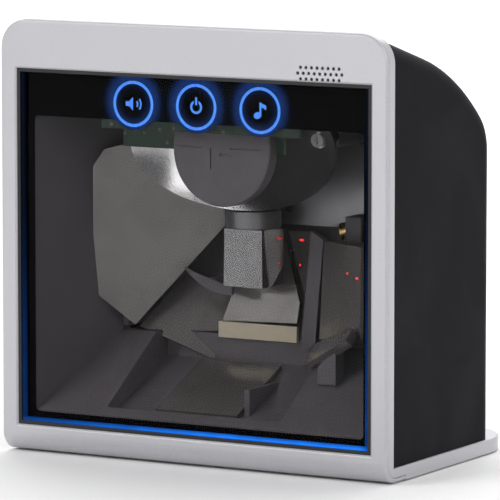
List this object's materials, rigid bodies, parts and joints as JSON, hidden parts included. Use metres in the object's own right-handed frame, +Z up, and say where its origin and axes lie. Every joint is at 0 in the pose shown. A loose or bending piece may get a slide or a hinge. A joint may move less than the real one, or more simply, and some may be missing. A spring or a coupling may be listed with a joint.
{
  "type": "omnidirectional presentation barcode scanner",
  "caption": "Upright free-standing laser barcode scanner with a smoked window, a spinning mirror block inside, a flat foot and a sloping rear housing.",
  "frame": {"origin": "centre of the footprint, on the plane that the rubber feet stand on", "axes": "+Z up, -Y out of the window, +X to the right when seen from the front"},
  "size_m": [0.15, 0.1, 0.15],
  "materials": {
    "silver_shell": "silver paint over moulded plastic, satin with a fine grain",
    "dark_shell": "dark charcoal, fine moulded texture",
    "base_plastic": "black, matt",
    "rubber": "black, matt",
    "smoked_glass": "smoked grey, polished",
    "black_print": "black print on the back of the pane",
    "black_plastic": "black, satin",
    "light_plastic": "clear blue-lit plastic",
    "circuit_board": "green solder resist",
    "tray_plastic": "dark grey moulded plastic",
    "pale_plastic": "cream moulded plastic",
    "mirror_glass": "front-surface mirror",
    "collector_coating": "coated concave mirror",
    "diode_window": "dark red filter",
    "laser_window": "clear lens",
    "brass": "turned",
    "aluminium": "turned",
    "motor_iron": "lacquered laminations",
    "steel": "zinc plated"
  },
  "bodies": {
    "chassis": {"base_cover": "base_plastic", "beam_shield": "tray_plastic", "bracket_screws": "steel", "carrier_screws": "steel", "collector_mirror": "collector_coating", "collector_screws": "steel", "data_socket": "black_plastic", "foot_frame": "silver_shell", "front_bezel": "silver_shell", "housing_screws": "steel", "laser_barrel": "brass", "laser_bracket": "tray_plastic", "laser_lens": "laser_window", "light_board": "circuit_board", "light_guide": "light_plastic", "main_board": "circuit_board", "main_board_screws": "steel", "main_chips": "black_plastic", "mirror_carrier": "tray_plastic", "mirror_centre": "mirror_glass", "mirror_clip": "pale_plastic", "mirror_floor": "mirror_glass", "mirror_inner_right": "mirror_glass", "mirror_left": "mirror_glass", "mirror_lower_left": "mirror_glass", "mirror_lower_right": "mirror_glass", "mirror_post": "tray_plastic", "mirror_right": "mirror_glass", "motor_board": "circuit_board", "motor_bush": "brass", "motor_stator": "motor_iron", "optics_bracket": "steel", "optics_tray": "tray_plastic", "photodiode": "diode_window", "power_light_pipe": "light_plastic", "power_socket": "black_plastic", "rear_housing": "dark_shell", "rubber_feet": "rubber", "sensor_board": "circuit_board", "sensor_cover": "black_plastic", "sensor_screws": "steel", "speaker": "black_plastic", "speaker_gasket": "rubber", "tone_light_pipe": "light_plastic", "touch_board": "circuit_board", "tray_screws": "steel", "volume_light_pipe": "light_plastic", "window_liner": "black_plastic", "window_mask": "black_print", "window_pane": "smoked_glass"},
    "spinner": {"polygon_mirror": "mirror_glass", "rotor_hub": "aluminium", "spindle": "steel", "polygon_washer": "steel"}
  },
  "joints": [
    {"name": "spinner_spin", "type": "hinge", "parent": "chassis", "child": "spinner", "pos_m": [0, -0.006, 0.0678], "axis": [0, 0, 1], "continuous": true}
  ]
}
